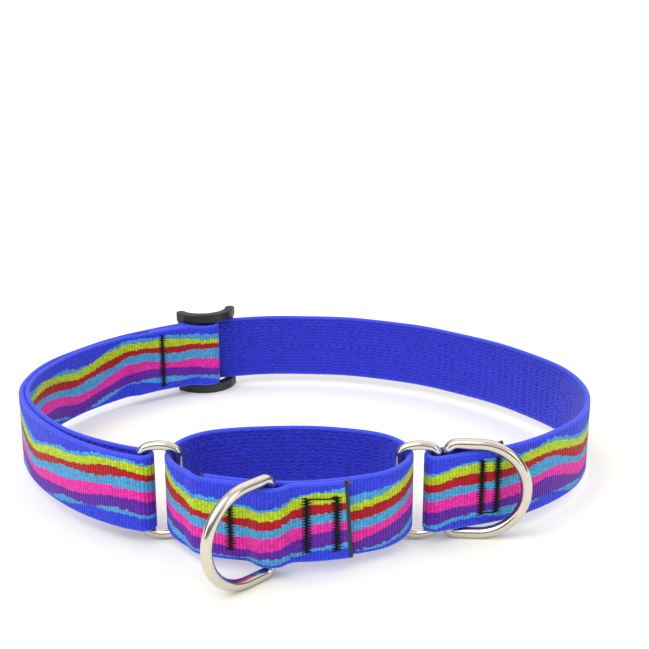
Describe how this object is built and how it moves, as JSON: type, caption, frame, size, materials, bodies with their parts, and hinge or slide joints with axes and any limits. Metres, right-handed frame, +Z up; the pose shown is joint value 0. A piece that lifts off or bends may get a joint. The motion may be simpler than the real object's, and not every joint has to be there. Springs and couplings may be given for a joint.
{
  "type": "martingale dog collar",
  "caption": "Webbing martingale collar: adjustable neck strap, two steel rings joined by a control loop that tightens when the leash ring is pulled, and a tag ring.",
  "frame": {"origin": "centre of the collar's box, on the surface that it stands on", "axes": "+Z up along the webbing's width, -Y towards the leash ring, +X towards the tag ring's side"},
  "size_m": [0.1988, 0.1832, 0.0335],
  "materials": {
    "webbing": "woven nylon, royal blue with wavy woven colour bands outside",
    "steel": "bright nickel-plated wire",
    "thread": "black bonded sewing thread",
    "plastic": "black moulded acetal"
  },
  "bodies": {
    "rear": {"neck_strap": "webbing", "inner_ply": "webbing"},
    "left_side": {"left_strap": "webbing"},
    "right_side": {"right_strap": "webbing", "tag_bartack_1": "thread", "tag_bartack_2": "thread", "tag_bartack_link": "thread"},
    "left_ring": {"left_ring": "steel"},
    "right_ring": {"right_ring": "steel"},
    "tag_dee": {"tag_dee": "steel"},
    "control_loop": {"control_loop": "webbing", "loop_bartack_1": "thread", "loop_bartack_2": "thread", "loop_bartack_3": "thread", "loop_bartack_link": "thread"},
    "leash_dee": {"leash_dee": "steel"},
    "slider": {"slider_frame": "plastic", "slider_webbing": "webbing", "slider_bartack": "thread"}
  },
  "joints": [
    {"name": "pull", "type": "slide", "parent": "rear", "child": "control_loop", "axis": [0, -1, 0], "range_m": [0, 0.0065], "deforming": ["control_loop"]},
    {"name": "left_draw", "type": "slide", "parent": "rear", "child": "left_side", "axis": [1, 0, 0], "range_m": [0, 0.0092]},
    {"name": "right_draw", "type": "slide", "parent": "rear", "child": "right_side", "axis": [-1, 0, 0], "range_m": [0, 0.0115]},
    {"name": "left_ring_swing", "type": "hinge", "parent": "left_side", "child": "left_ring", "pos_m": [-0.04885, -0.0498, 0.01675], "axis": [0, 0, -1], "range_deg": [0, 36]},
    {"name": "right_ring_swing", "type": "hinge", "parent": "right_side", "child": "right_ring", "pos_m": [0.04215, -0.0498, 0.01675], "axis": [0, 0, 1], "range_deg": [0, 36]},
    {"name": "tag_ring_swing", "type": "hinge", "parent": "right_side", "child": "tag_dee", "pos_m": [0.04557, -0.04848, 0.01675], "axis": [0, 0, 1], "range_deg": [-100, 0]},
    {"name": "leash_ring_swing", "type": "hinge", "parent": "control_loop", "child": "leash_dee", "pos_m": [-0.0081, -0.07305, 0.01675], "axis": [0, 0, 1], "range_deg": [-30, 110]},
    {"name": "slider_travel", "type": "hinge", "parent": "rear", "child": "slider", "pos_m": [-0.00637, -0.00741, 0.01675], "axis": [0, 0, -1], "range_deg": [-5.8, 17.2], "deforming": ["inner_ply"]}
  ],
  "couplings": [
    {"joint": "left_draw", "follows": "pull", "ratio": 1.4},
    {"joint": "right_draw", "follows": "pull", "ratio": 1.74},
    {"joint": "left_ring_swing", "follows": "pull", "rad_per_m": 93.4},
    {"joint": "right_ring_swing", "follows": "pull", "rad_per_m": 93.4}
  ]
}
